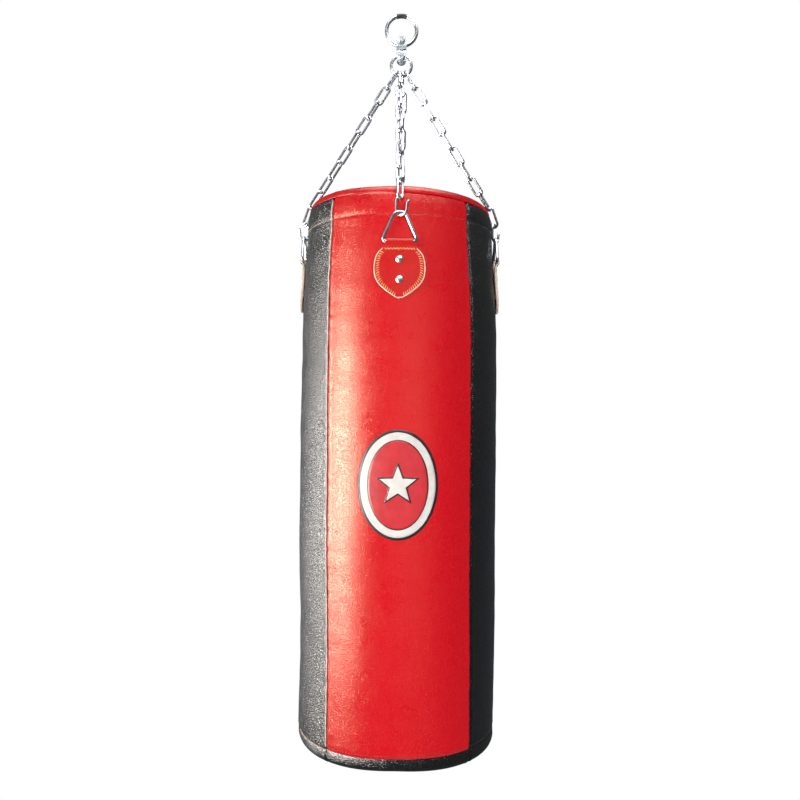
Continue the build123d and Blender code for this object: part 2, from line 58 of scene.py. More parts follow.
# ---- Room ---------------------------------------------------------------------------------------
# The camera looks level at the bag from its front, a little below its middle. The room is plain
# white. Tall windows on the left give the leather its long highlight, and soft fills light the rest.
camera_z = (cad_low.z + cad_high.z) / 2 - 0.0532
camera_data = bpy.data.cameras.new("camera")
camera_data.lens = 30.1
camera_data.sensor_width = 36.0
camera = bpy.data.objects.new("camera", camera_data)
camera.location = (0.0022, -1.155, camera_z)
camera.rotation_euler = (math.radians(90), math.radians(-0.45), 0)
bpy.context.scene.collection.objects.link(camera)
bpy.context.scene.camera = camera
bpy.context.scene.view_settings.view_transform = "Standard"

studio = bpy.data.worlds.new("studio")
studio.use_nodes = True
studio.node_tree.nodes["Background"].inputs["Color"].default_value = (0.92, 0.96, 1.0, 1)
studio.node_tree.nodes["Background"].inputs["Strength"].default_value = 0.12
bpy.context.scene.world = studio


def window(name, place, aim, width, height, watts, colour=(1, 1, 1), mirrored=True, lighting=True):
    """Soft rectangular light: one that shiny things mirror, one that lights dull things, or both."""
    lamp = bpy.data.lights.new(name, "AREA")
    lamp.shape = "RECTANGLE"
    lamp.size, lamp.size_y = width, height
    lamp.energy = watts
    lamp.color = colour
    made = bpy.data.objects.new(name, lamp)
    made.location = place
    made.rotation_euler = (Vector(aim) - Vector(place)).to_track_quat("-Z", "Y").to_euler()
    made.visible_glossy, made.visible_diffuse = mirrored, lighting
    bpy.context.scene.collection.objects.link(made)


bag_middle = (0, 0, camera_z)
roof_spot, sling_middle = (0.2, -0.5, camera_z + 2.6), (0, 0, -0.2)
warm_day, warm_glow = (1.0, 0.94, 0.87), (1.0, 0.92, 0.84)
window("key_window", (-1.40, -0.62, camera_z - 0.21), bag_middle, 0.44, 1.08, 95, warm_day, lighting=False)
window("key_glow", (-1.30, -0.90, camera_z), bag_middle, 0.9, 1.3, 17, warm_glow, mirrored=False)
window("side_window", (-1.30, 0.42, camera_z - 0.27), bag_middle, 0.38, 1.15, 8)
window("roof_light", roof_spot, sling_middle, 2.4, 2.4, 150, lighting=False)
window("front_fill", (0.7, -2.6, camera_z), bag_middle, 1.6, 2.0, 56, mirrored=False)
window("roof_fill", roof_spot, sling_middle, 2.4, 2.4, 24, mirrored=False)
window("low_fill", (0.5, -0.9, camera_z - 2.2), bag_middle, 1.4, 1.4, 14, mirrored=False)
window("back_fill", (0.6, 2.4, camera_z + 0.4), bag_middle, 1.6, 1.6, 36, mirrored=False)


def room_finish():
    """White to the camera and clear to all other rays, so that only the windows light the bag."""
    finish = bpy.data.materials.new("white_room")
    finish.use_nodes = True
    nodes, links = finish.node_tree.nodes, finish.node_tree.links
    nodes.remove(nodes["Principled BSDF"])
    white = nodes.new("ShaderNodeEmission")
    clear = nodes.new("ShaderNodeBsdfTransparent")
    ray = nodes.new("ShaderNodeLightPath")
    choice = nodes.new("ShaderNodeMixShader")
    links.new(ray.outputs["Is Camera Ray"], choice.inputs["Fac"])
    links.new(clear.outputs["BSDF"], choice.inputs[1])
    links.new(white.outputs["Emission"], choice.inputs[2])
    links.new(choice.outputs["Shader"], nodes["Material Output"].inputs["Surface"])
    return finish


room_bm = bmesh.new()
bmesh.ops.create_icosphere(room_bm, subdivisions=4, radius=6.0)
bmesh.ops.translate(room_bm, verts=room_bm.verts, vec=bag_middle)
room_mesh = bpy.data.meshes.new("white_room")
room_bm.to_mesh(room_mesh)
room_bm.free()
room_mesh.materials.append(room_finish())
room = bpy.data.objects.new("white_room", room_mesh)
bpy.context.scene.collection.objects.link(room)


# ---- Zinc-plated steel --------------------------------------------------------------------------
# Rings, chains, hooks, D-rings and the swivel are plated steel. The plating is bright, with soft
# cloudy patches and a little dulling where the parts rub.
def shader_group(name, inputs, outputs):
    """Empty shader node group with float inputs and outputs of the given kinds."""
    group = bpy.data.node_groups.new(name, "ShaderNodeTree")
    for label, value in inputs.items():
        socket = group.interface.new_socket(label, in_out="INPUT", socket_type="NodeSocketFloat")
        socket.default_value = value
    for label, kind in outputs.items():
        group.interface.new_socket(label, in_out="OUTPUT", socket_type=kind)
    return group, group.nodes.new("NodeGroupInput"), group.nodes.new("NodeGroupOutput")


def cloud_group():
    """Cloudy patches from 0 to 1 over a surface: patches per metre, and how hard their edges are."""
    group, given, result = shader_group(
        "cloudy_patches", {"Patches": 60.0, "Hardness": 0.2}, {"Mask": "NodeSocketFloat"})
    place = group.nodes.new("ShaderNodeTexCoord")
    cloud = group.nodes.new("ShaderNodeTexNoise")
    cloud.inputs["Detail"].default_value = 5.0
    cloud.inputs["Roughness"].default_value = 0.62
    low = group.nodes.new("ShaderNodeMath")
    low.operation = "MULTIPLY_ADD"
    low.inputs[1].default_value = 0.28
    low.inputs[2].default_value = 0.22
    high = group.nodes.new("ShaderNodeMath")
    high.operation = "SUBTRACT"
    high.inputs[0].default_value = 1.0
    spread = group.nodes.new("ShaderNodeMapRange")
    spread.interpolation_type = "SMOOTHSTEP"
    group.links.new(place.outputs["Object"], cloud.inputs["Vector"])
    group.links.new(given.outputs["Patches"], cloud.inputs["Scale"])
    group.links.new(given.outputs["Hardness"], low.inputs[0])
    group.links.new(low.outputs[0], high.inputs[1])
    group.links.new(cloud.outputs["Fac"], spread.inputs["Value"])
    group.links.new(low.outputs[0], spread.inputs["From Min"])
    group.links.new(high.outputs[0], spread.inputs["From Max"])
    group.links.new(spread.outputs["Result"], result.inputs["Mask"])
    return group


cloudy_patches = cloud_group()


class Finish:
    """A material being put together: its tree, its Principled shader and short ways to add nodes."""

    def __init__(self, name, roughness, metallic=0.0):
        self.material = bpy.data.materials.new(name)
        self.material.use_nodes = True
        self.tree = self.material.node_tree
        self.shader = self.tree.nodes["Principled BSDF"]
        self.shader.inputs["Roughness"].default_value = roughness
        self.shader.inputs["Metallic"].default_value = metallic

    def group(self, shared, **values):
        """Places a shared node group with its own values."""
        node = self.tree.nodes.new("ShaderNodeGroup")
        node.node_tree = shared
        for label, value in values.items():
            node.inputs[label].default_value = value
        return node

    def between(self, mask, low, high, socket):
        """Drives a shader socket from one number or colour to another by a mask."""
        if isinstance(low, tuple):
            mix = self.tree.nodes.new("ShaderNodeMix")
            mix.data_type = "RGBA"
            mix.inputs["A"].default_value = (*low, 1)
            mix.inputs["B"].default_value = (*high, 1)
            self.tree.links.new(mask, mix.inputs["Factor"])
            self.tree.links.new(mix.outputs["Result"], self.shader.inputs[socket])
            return mix
        ramp = self.tree.nodes.new("ShaderNodeMapRange")
        ramp.inputs["To Min"].default_value = low
        ramp.inputs["To Max"].default_value = high
        self.tree.links.new(mask, ramp.inputs["Value"])
        self.tree.links.new(ramp.outputs["Result"], self.shader.inputs[socket])
        return ramp

    def darken(self, mix, mask, colour):
        """Lays a second colour over the base colour by a mask."""
        over = self.tree.nodes.new("ShaderNodeMix")
        over.data_type = "RGBA"
        over.inputs["B"].default_value = (*colour, 1)
        self.tree.links.new(mask, over.inputs["Factor"])
        self.tree.links.new(mix.outputs["Result"], over.inputs["A"])
        self.tree.links.new(over.outputs["Result"], self.shader.inputs["Base Color"])
        return over

    def bump(self, height, metres, strength=1.0):
        """Relief of a given depth."""
        relief = self.tree.nodes.new("ShaderNodeBump")
        relief.inputs["Distance"].default_value = metres
        relief.inputs["Strength"].default_value = strength
        self.tree.links.new(height, relief.inputs["Height"])
        self.tree.links.new(relief.outputs["Normal"], self.shader.inputs["Normal"])
        return relief


def plated_steel(name, bright, dull, low_roughness, high_roughness, patches):
    """Zinc or nickel plate with cloudy colour and roughness and a faint orange-peel relief."""
    finish = Finish(name, low_roughness, 1.0)
    cloud = finish.group(cloudy_patches, Patches=patches, Hardness=0.5)
    finish.between(cloud.outputs["Mask"], bright, dull, "Base Color")
    rub = finish.group(cloudy_patches, Patches=patches * 3.1, Hardness=0.2)
    finish.between(rub.outputs["Mask"], low_roughness, high_roughness, "Roughness")
    finish.bump(rub.outputs["Mask"], 0.00004, 0.6)
    return finish.material


zinc_wire = plated_steel("zinc_wire", (0.66, 0.69, 0.74), (0.46, 0.49, 0.54), 0.26, 0.42, 160)
zinc_strip = plated_steel("zinc_strip", (0.74, 0.80, 0.84), (0.54, 0.60, 0.64), 0.40, 0.54, 120)
zinc_fastener = plated_steel("zinc_fastener", (0.74, 0.78, 0.82), (0.52, 0.55, 0.58), 0.30, 0.44, 240)
turned_steel = plated_steel("turned_steel", (0.48, 0.48, 0.50), (0.34, 0.34, 0.36), 0.28, 0.42, 300)


def refinish(node, finish):
    """Gives a CAD node its material."""
    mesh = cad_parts[node].data
    mesh.materials.clear()
    mesh.materials.append(finish)


stations = {"front": 0.0, "right": 90.0, "back": 180.0, "left": 270.0}
for node in ("hanging_ring", "chain_ring"):
    refinish(node, zinc_wire)
for station in stations:
    for part in ("chain", "hook", "d_ring"):
        refinish(f"{part}_{station}", zinc_wire)
    refinish(f"burrs_{station}", zinc_fastener)
for node in ("upper_jaw", "lower_jaw"):
    refinish(node, zinc_strip)
for node in ("upper_bolt", "upper_nut", "lower_bolt", "lower_nut", "swivel_washer"):
    refinish(node, zinc_fastener)
refinish("swivel_pin", turned_steel)


# ---- Leather skin -------------------------------------------------------------------------------
# The skin is four long panels, red at the front and back and black at the sides, sewn edge to edge
# and to a black cup at the bottom. The filling pushes the panels out between their seams.
def pore_group():
    """Pebble grain of leather: pebbles per metre and their roundness in; height, and a crease mask for
    painted shade, out.
    """
    group, given, result = shader_group(
        "leather_grain", {"Pebbles": 700.0, "Width": 0.12},
        {"Height": "NodeSocketFloat", "Crease_shade": "NodeSocketFloat"})
    place = group.nodes.new("ShaderNodeTexCoord")
    wander = group.nodes.new("ShaderNodeTexNoise")
    wander.inputs["Scale"].default_value = 90.0
    wander.inputs["Detail"].default_value = 2.0
    shift = group.nodes.new("ShaderNodeVectorMath")
    shift.operation = "SCALE"
    shift.inputs["Scale"].default_value = 0.0022
    moved = group.nodes.new("ShaderNodeVectorMath")
    cells = group.nodes.new("ShaderNodeTexVoronoi")
    cells.feature = "DISTANCE_TO_EDGE"
    dome = group.nodes.new("ShaderNodeMapRange")
    dome.interpolation_type = "SMOOTHSTEP"
    fine = group.nodes.new("ShaderNodeTexNoise")
    fine.inputs["Scale"].default_value = 2600.0
    fine.inputs["Detail"].default_value = 2.0
    blend = group.nodes.new("ShaderNodeMath")
    blend.operation = "MULTIPLY_ADD"
    blend.inputs[1].default_value = 0.22
    # Mask for the painted shade in the creases between the pebbles.
    crease = group.nodes.new("ShaderNodeMath")
    crease.operation = "SUBTRACT"
    crease.inputs[0].default_value = 1.0
    group.links.new(place.outputs["Object"], wander.inputs["Vector"])
    group.links.new(wander.outputs["Color"], shift.inputs[0])
    group.links.new(place.outputs["Object"], moved.inputs[0])
    group.links.new(shift.outputs["Vector"], moved.inputs[1])
    group.links.new(moved.outputs["Vector"], cells.inputs["Vector"])
    group.links.new(given.outputs["Pebbles"], cells.inputs["Scale"])
    group.links.new(cells.outputs["Distance"], dome.inputs["Value"])
    group.links.new(given.outputs["Width"], dome.inputs["From Max"])
    group.links.new(place.outputs["Object"], fine.inputs["Vector"])
    group.links.new(fine.outputs["Fac"], blend.inputs[0])
    group.links.new(dome.outputs["Result"], blend.inputs[2])
    group.links.new(blend.outputs[0], result.inputs["Height"])
    group.links.new(dome.outputs["Result"], crease.inputs[1])
    group.links.new(crease.outputs[0], result.inputs["Crease_shade"])
    return group


leather_grain = pore_group()


def leather(name, light, deep, crease_shade, patches, pebbles, roundness, depth, low_roughness, high_roughness,
            shine, sheen=(1, 1, 1)):
    """Finished leather: patchy colour, pebble grain, painted shade in the grain's creases and uneven gloss.
    """
    finish = Finish(name, low_roughness)
    finish.shader.inputs["Specular IOR Level"].default_value = shine
    finish.shader.inputs["Specular Tint"].default_value = (*sheen, 1)
    drift = finish.group(cloudy_patches, Patches=patches, Hardness=0.1)
    tone = finish.between(drift.outputs["Mask"], light, deep, "Base Color")
    grain = finish.group(leather_grain, Pebbles=pebbles, Width=roundness)
    # Painted shade: the grain's creases are darkened with the crease colour.
    finish.darken(tone, grain.outputs["Crease_shade"], crease_shade)
    gloss = finish.group(cloudy_patches, Patches=32.0, Hardness=0.3)
    finish.between(gloss.outputs["Mask"], low_roughness, high_roughness, "Roughness")
    finish.bump(grain.outputs["Height"], depth)
    return finish.material


# The third colour of each leather is painted shade for the creases of its grain.
red_leather = leather("red_leather", (0.86, 0.024, 0.018), (0.66, 0.002, 0.015), (0.60, 0.002, 0.012),
                      330, 430, 0.50, 0.00022, 0.26, 0.36, 0.50, (1.0, 0.74, 0.52))
black_leather = leather("black_leather", (0.028, 0.028, 0.029), (0.002, 0.002, 0.002), (0.001, 0.001, 0.001),
                        300, 330, 0.60, 0.00080, 0.28, 0.42, 0.85)


def smooth_piece(name, bm, body, *finishes):
    """Turns a bmesh into a smooth-shaded object that rides with a body."""
    mesh = bpy.data.meshes.new(name)
    bm.to_mesh(mesh)
    bm.free()
    for finish in finishes:
        mesh.materials.append(finish)
    mesh.shade_smooth()
    made = bpy.data.objects.new(name, mesh)
    bpy.context.scene.collection.objects.link(made)
    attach(made, body)
    return made


def outer_edge(*nodes):
    """Heights and outer radii of round CAD nodes, from the highest down."""
    widest = {}
    for node in nodes:
        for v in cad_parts[node].data.vertices:
            height = round(v.co.z, 4)
            widest[height] = max(widest.get(height, 0.0), math.hypot(v.co.x, v.co.y))
    return sorted(widest.items(), reverse=True)


def along(outline, z):
    """Radius of an outline of (height, radius) at a height."""
    for (z0, r0), (z1, r1) in zip(outline, outline[1:]):
        if z1 <= z <= z0:
            return r0 + (r1 - r0) * (z0 - z) / max(z0 - z1, 1e-9)
    return outline[0][1] if z > outline[0][0] else outline[-1][1]


def falloff(distance, reach):
    """Bell from 1 at no distance to nearly 0 at twice the reach."""
    return math.exp(-(distance / reach) ** 2)


wall_outline = outer_edge("panel_front", "panel_left")
shoulder_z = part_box("panel_front")[1].z
seam_low_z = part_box("panel_front")[0].z
bottom_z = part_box("bottom_cap")[0].z
hem_z = shoulder_z - 0.0376
columns_red, columns_black = 84, 96
red_from, red_to = math.radians(-41.6), math.radians(43.4)
column_crowding = 0.78
seam_depth = 0.0019
corner_steps = 9
base_lift = 0.0015
underside_inset = 0.0175
sag_height = 0.09
top_inset = 0.004
crease_z, crease_angle = shoulder_z - 0.184, math.radians(-27)


def column_angles():
    """Angles of the skin's columns, counted from the front, crowded together near the four seams."""
    angles = []
    sides = [(red_from, red_to, columns_red), (red_to, math.pi + red_from, columns_black),
             (math.pi + red_from, math.pi + red_to, columns_red),
             (math.pi + red_to, math.tau + red_from, columns_black)]
    for start, end, count in sides:
        for step in range(count):
            t = step / count
            t -= column_crowding * math.sin(math.tau * t) / math.tau
            angles.append(start + (end - start) * t)
    return angles


columns = column_angles()
seams = [red_from, red_to, math.pi + red_from, math.pi + red_to]


def drift_of_seams(z):
    """The skin is sewn up with a slight twist down its height."""
    return math.radians(1.9) * ((shoulder_z - z) / (shoulder_z - seam_low_z) - 0.5)


def seam_distance(angle, radius):
    """Distance round the skin to the nearest seam."""
    gaps = [abs((angle - seam + math.pi) % math.tau - math.pi) for seam in seams]
    return min(gaps) * radius


def skin_relief(angle, z, radius):
    """How far the skin stands out from the even wall: seams, hem, puckers, dents and the filling's lumps."""
    away = seam_distance(angle, radius)
    spot = Vector((math.sin(angle) * radius, math.cos(angle) * radius, z))
    lumps = noise.noise(spot * 6.5 + Vector((3.1, 0.4, 8.2))) * 0.0020
    ripples = noise.noise(Vector((spot.x * 9, spot.y * 9, z * 34 + 5))) * 0.0007
    pucker = noise.noise(Vector((angle * 3, 2.0, z * 105))) * 0.0011 * falloff(away, 0.013)
    crowned = 0.0012 * (1 - falloff(away, 0.05))
    seam = -seam_depth * falloff(away, 0.0022) + 0.0005 * falloff(away - 0.0055, 0.003)
    hem = -0.0007 * falloff(z - hem_z, 0.0022) + 0.0004 * falloff(z - hem_z - 0.007, 0.005)
    hem += noise.noise(Vector((angle * 16, 7.0, 0))) * 0.0006 * falloff(z - hem_z, 0.012)
    crease = -0.0011 * falloff(z - crease_z - 0.03 * (angle - crease_angle) ** 2, 0.0016)
    crease *= falloff(angle - crease_angle, 0.10)
    low_seam = -0.0016 * falloff(z - seam_low_z, 0.0022)
    low_seam += noise.noise(Vector((angle * 24, 1.0, 0))) * 0.0010 * falloff(z - seam_low_z - 0.008, 0.012)
    return lumps + ripples + pucker + crowned + seam + hem + low_seam + crease


def skin_levels():
    """Heights of the skin's rings, closer together at the hem and the bottom seam."""
    levels, z = [], shoulder_z - 0.009
    while z > seam_low_z - 0.003:
        levels.append(z)
        near = min(abs(z - hem_z), abs(z - seam_low_z))
        z -= 0.0009 if near < 0.004 else 0.0039
    return levels


def cup_round(angle):
    """Radius of the bottom corner: the bag has slumped to its right, which fills that corner out."""
    return 0.0150 - 0.0030 * math.sin(angle)


def eased(share):
    """Share from 0 to 1 with a gentle start and end."""
    share = min(max(share, 0.0), 1.0)
    return share * share * (3 - 2 * share)


def settled(angle, z):
    """Height that a point of the even wall has come to: the rim is pulled up and the sides sag."""
    lift = (0.0048 - 0.0034 * math.sin(angle)) * eased((z - hem_z - 0.004) / (shoulder_z - hem_z - 0.010))
    sag = (0.0130 * abs(math.sin(angle)) ** 1.4 - 0.0006) * eased((seam_low_z + sag_height - z) / sag_height)
    rise = 0.0022 * math.cos(angle) ** 2 * eased((seam_low_z - z) / (seam_low_z - bottom_z))
    return z + lift - sag + rise


def skin_place(column, ring):
    """Place of a vertex of the skin. A ring is a height on the wall, or a turn round the bottom corner."""
    kind, value = ring
    z = value if kind == "wall" else bottom_z + base_lift + cup_round(column) * (1 - math.sin(value))
    seam_r = along(wall_outline, seam_low_z)
    radius = along(wall_outline, max(z, seam_low_z)) + skin_relief(column, z, seam_r)
    if kind == "corner":
        radius -= cup_round(column) * (1 - math.cos(value))
    angle = column + drift_of_seams(z)
    return Vector((math.sin(angle) * radius, -math.cos(angle) * radius, settled(angle, z)))


levels = skin_levels()
rings = [("wall", z) for z in levels]
rings += [("corner", math.pi / 2 * step / corner_steps) for step in range(1, corner_steps + 1)]
skin_bm = bmesh.new()
top_r = along(wall_outline, shoulder_z) - top_inset
top_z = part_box("lid")[0].z - 0.003
first = bmesh.ops.create_circle(skin_bm, segments=len(columns), radius=top_r)["verts"]
first.sort(key=lambda v: math.atan2(v.co.x, -v.co.y) % math.tau)
order = sorted(range(len(columns)), key=lambda i: columns[i] % math.tau)
for v, column in zip(first, order):
    angle = columns[column] + drift_of_seams(levels[0])
    v.co = (math.sin(angle) * top_r, -math.cos(angle) * top_r, top_z)
edges = list(skin_bm.edges)
bmesh.ops.contextual_create(skin_bm, geom=edges)
column_of = dict(zip(first, order))


def new_edges(grown, verts):
    """Edges of an extrusion that lie wholly on its new vertices."""
    found = [g for g in grown if isinstance(g, bmesh.types.BMEdge)]
    return [e for e in found if e.verts[0] in verts and e.verts[1] in verts]


for ring in rings:
    before = {edge.verts[side]: None for edge in edges for side in (0, 1)}
    grown = bmesh.ops.extrude_edge_only(skin_bm, edges=edges)["geom"]
    verts = {g for g in grown if isinstance(g, bmesh.types.BMVert)}
    edges = new_edges(grown, verts)
    for v in verts:
        for edge in v.link_edges:
            other = edge.other_vert(v)
            if other in before:
                column_of[v] = column_of[other]
    for v in verts:
        v.co = skin_place(columns[column_of[v]], ring)
inner = edges
reach = along(wall_outline, seam_low_z) - underside_inset
for share in (0.85, 0.65, 0.45, 0.25, 0.10):
    grown = bmesh.ops.extrude_edge_only(skin_bm, edges=inner)["geom"]
    verts = [g for g in grown if isinstance(g, bmesh.types.BMVert)]
    inner = new_edges(grown, verts)
    for v in verts:
        away = math.hypot(v.co.x, v.co.y)
        low = settled(math.atan2(v.co.x, -v.co.y), bottom_z + base_lift)
        v.co = (v.co.x * reach * share / away, v.co.y * reach * share / away,
                bottom_z + (low - bottom_z) * share ** 3 + noise.noise(v.co * 30) * 0.0008)
bmesh.ops.contextual_create(skin_bm, geom=inner)
bmesh.ops.recalc_face_normals(skin_bm, faces=skin_bm.faces)
for face in skin_bm.faces:
    centre = face.calc_center_median()
    angle = math.atan2(centre.x, -centre.y) - drift_of_seams(centre.z)
    turn = (angle - red_from) % math.pi
    low = centre.z < settled(angle, seam_low_z)
    face.material_index = 1 if low or turn > red_to - red_from else 0
skin = smooth_piece("bag_skin", skin_bm, "bag", red_leather, black_leather)
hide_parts("panel_front", "panel_right", "panel_back", "panel_left", "bottom_cap")


# ---- Seams and stitching of the skin ------------------------------------------------------------
# At two of the long seams the black panel's edge shows as a thin bead, coloured pale as a painted
# highlight. The hem under the rim and the seam of the bottom cup are run with thick bonded thread; the
# hem thread is painted pale as a highlight on the lit left panel and black as shade on the right one,
# and the bottom seam has pale stitches on its lit front left as a painted highlight.
bpy.context.view_layer.update()
skin_surface = skin.evaluated_get(bpy.context.evaluated_depsgraph_get())


def on_skin(angle, z, lift=0.0):
    """Point on the skin at an angle from the front and a height, and the way out of it."""
    way = Vector((math.sin(angle), -math.cos(angle), 0))
    _, place, normal, _ = skin_surface.ray_cast(Vector((0, 0, z)), way)
    out = normal if normal.dot(way) > 0 else -normal
    return place + out * lift, out


def thread(name, light, dark, twist):
    """Bonded thread: a slanted ply pattern in relief, with the grooves between the plies painted darker as
    shade.
    """
    finish = Finish(name, 0.55)
    finish.shader.inputs["Sheen Weight"].default_value = 0.3
    ply = finish.tree.nodes.new("ShaderNodeTexWave")
    ply.bands_direction = "DIAGONAL"
    ply.inputs["Scale"].default_value = twist
    ply.inputs["Distortion"].default_value = 1.5
    place = finish.tree.nodes.new("ShaderNodeTexCoord")
    finish.tree.links.new(place.outputs["Object"], ply.inputs["Vector"])
    # Painted shade: the colour darkens where the ply relief is low.
    finish.between(ply.outputs["Fac"], dark, light, "Base Color")
    finish.bump(ply.outputs["Fac"], 0.00008)
    return finish.material


# The pale thread is a painted highlight, on the lit left hem and on the bottom seam's lit front left.
pale_highlight_thread = thread("pale_highlight_thread", (0.72, 0.52, 0.42), (0.42, 0.28, 0.22), 420)
red_thread = thread("red_thread", (0.50, 0.015, 0.010), (0.26, 0.008, 0.006), 420)
black_thread = thread("black_thread", (0.03, 0.03, 0.03), (0.01, 0.01, 0.01), 420)


def stitch_row(name, places, size, finish, body):
    """Row of stitches, one at each (centre, direction, way out), of a size (length, width, height)."""
    one = bmesh.new()
    bmesh.ops.create_uvsphere(one, u_segments=8, v_segments=5, radius=0.5)
    bmesh.ops.scale(one, verts=one.verts, vec=(size[1], size[0], size[2]))
    corners = len(one.verts)
    stitch = bpy.data.meshes.new(f"{name}_one")
    one.to_mesh(stitch)
    one.free()
    bm = bmesh.new()
    turns = []
    for centre, run, out in places:
        side = run.cross(out).normalized()
        turn = Matrix((side, run.normalized(), side.cross(run).normalized())).transposed().to_4x4()
        turns.append(Matrix.Translation(centre) @ turn)
        bm.from_mesh(stitch)
    for number, v in enumerate(bm.verts):
        v.co = turns[number // corners] @ v.co
    bpy.data.meshes.remove(stitch)
    made = smooth_piece(name, bm, body, finish)
    return made


def black_side(angle):
    """Whether an angle from the front lies on a black panel."""
    return (angle - red_from) % math.pi > red_to - red_from


def lit_left_panel(angle):
    """Whether an angle lies on the lit left panel, whose hem stitches are painted pale as a highlight."""
    return math.sin(angle) < 0 and black_side(angle)


def lit_front_stretch(angle):
    """Whether an angle lies on the lit front left, where stitches on the bottom seam are painted pale as a
    highlight.
    """
    return -1.30 < math.remainder(angle, math.tau) < -0.62


def round_row(z, pitch, keep):
    """Places of a level row of stitches round the skin, where keep(angle) is true."""
    count = round(math.tau * along(wall_outline, z) / pitch)
    places = []
    for step in range(count):
        angle = math.tau * step / count
        if keep(angle - drift_of_seams(z)):
            centre, out = on_skin(angle, settled(angle, z), 0.0001)
            places.append((centre, Vector((math.cos(angle), math.sin(angle), 0)), out))
    return places


stitch_pitch, highlight_pitch = 0.0052, 0.0046
hem_stitch, thick_stitch = (0.0042, 0.0011, 0.0011), (0.0044, 0.0018, 0.0016)
bottom_stitch, highlight_stitch = (0.0042, 0.0010, 0.0009), (0.0048, 0.0022, 0.0018)
# Hem thread: painted pale as a highlight on the lit left panel, and painted black as shade on the right
# black panel.
for name, z, pitch, keep, size, finish in (
        ("hem_stitches_left_highlight", hem_z, stitch_pitch, lit_left_panel, thick_stitch, pale_highlight_thread),
        ("hem_stitches_right_shade", hem_z, stitch_pitch, lambda a: black_side(a) and not lit_left_panel(a),
         hem_stitch, black_thread),
        ("hem_stitches_red", hem_z, stitch_pitch, lambda a: not black_side(a), hem_stitch, red_thread),
        ("bottom_stitches", seam_low_z + 0.0045, stitch_pitch, lambda a: True, bottom_stitch, black_thread),
        # Pale stitches on the bottom seam's lit front left: a painted highlight.
        ("highlight_stitches", seam_low_z - 0.0005, highlight_pitch, lit_front_stretch, highlight_stitch, pale_highlight_thread)):
    stitch_row(name, round_row(z, pitch, keep), size, finish, "bag")

# The seam bead's pale colour is a painted highlight on the black panel's edge, which is a real bead.
pale_highlight_edge = Finish("pale_highlight_edge", 0.6)
fray = pale_highlight_edge.group(cloudy_patches, Patches=180.0, Hardness=0.4)
pale_highlight_edge.between(fray.outputs["Mask"], (0.80, 0.74, 0.66), (0.46, 0.38, 0.33), "Base Color")
pale_highlight_edge.bump(fray.outputs["Mask"], 0.0002)


def bead(name, points, ways, radius, finish, body):
    """Thin round bead through points, with the way out of the surface at each."""
    bm = bmesh.new()
    ring = bmesh.ops.create_circle(bm, segments=6, radius=radius, cap_ends=True)["verts"]
    edges = list(bm.edges)
    for step, (point, out) in enumerate(zip(points, ways)):
        ahead = points[min(step + 1, len(points) - 1)] - points[max(step - 1, 0)]
        side = ahead.cross(out).normalized()
        if step:
            grown = bmesh.ops.extrude_edge_only(bm, edges=edges)["geom"]
            ring_new = [g for g in grown if isinstance(g, bmesh.types.BMVert)]
            edges = new_edges(grown, ring_new)
            nearest = {v: min(ring, key=lambda w: (w.co - v.co).length) for v in ring_new}
            ring = [next(v for v in ring_new if nearest[v] is w) for w in ring]
        for corner, v in enumerate(ring):
            turn = math.tau * corner / len(ring)
            v.co = point + side * (radius * math.cos(turn)) + out * (radius * math.sin(turn))
    bmesh.ops.contextual_create(bm, geom=edges)
    bmesh.ops.recalc_face_normals(bm, faces=bm.faces)
    made = smooth_piece(name, bm, body, finish)
    return made


edge_r, edge_offset = 0.0011, 0.0019
for number, seam in enumerate(seams[::2]):
    points, ways = [], []
    for z in levels[1:-4:2]:
        angle = seam + drift_of_seams(z) - edge_offset / along(wall_outline, z)
        point, out = on_skin(angle, settled(angle, z), 0.0003)
        points.append(point)
        ways.append(Vector((math.sin(angle), -math.cos(angle), 0)))
    bead(f"seam_highlight_bead_{number + 1}", points, ways, edge_r, pale_highlight_edge.material, "bag")


# ---- Rim binding and lid ------------------------------------------------------------------------
# A strip of red leather is folded over the top edge and holds the lid, a disc of the same leather
# with a zip across it through which the bag is filled.
binding_low, binding_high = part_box("rim_binding")
lid_low, lid_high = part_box("lid")
shoulder_r = binding_high.z - binding_low.z
binding_inner = binding_high.x - shoulder_r
lip_width = 0.0068
binding_thick = 0.0016
bm = bmesh.new()
bmesh.ops.create_circle(bm, segments=192, radius=binding_high.x)
bmesh.ops.translate(bm, verts=bm.verts, vec=(0, 0, binding_low.z - 0.0012))
edges = list(bm.edges)
fold_steps = [(binding_high.x, binding_low.z)]
for step in range(1, 9):
    turn = math.pi / 2 * step / 8
    fold_steps.append((binding_inner + shoulder_r * math.cos(turn),
                       binding_low.z + shoulder_r * math.sin(turn)))
fold_steps += [(binding_inner - lip_width * share, binding_high.z - 0.0002 * share) for share in (0.5, 1.0)]
for radius, z in fold_steps:
    grown = bmesh.ops.extrude_edge_only(bm, edges=edges)["geom"]
    edges = [g for g in grown if isinstance(g, bmesh.types.BMEdge)]
    for v in [g for g in grown if isinstance(g, bmesh.types.BMVert)]:
        away = math.hypot(v.co.x, v.co.y)
        v.co = (v.co.x * radius / away, v.co.y * radius / away, z)
for v in bm.verts:
    angle = math.atan2(v.co.x, -v.co.y)
    wave = noise.noise(Vector((math.sin(angle) * 2.4, math.cos(angle) * 2.4, v.co.z * 40)))
    fold = noise.noise(Vector((math.sin(angle) * 14, math.cos(angle) * 14, 4.0)))
    v.co.z = settled(angle, v.co.z) + wave * 0.0010 + fold * 0.0004
    v.co.x *= 1 + wave * 0.003
    v.co.y *= 1 + wave * 0.003
bmesh.ops.recalc_face_normals(bm, faces=bm.faces)
rim = smooth_piece("rim_strip", bm, "bag", red_leather)
wall = rim.modifiers.new("wall", "SOLIDIFY")
wall.thickness, wall.offset = binding_thick, -1
soften = rim.modifiers.new("soften", "BEVEL")
soften.width, soften.segments = 0.0005, 2
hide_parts("rim_binding")

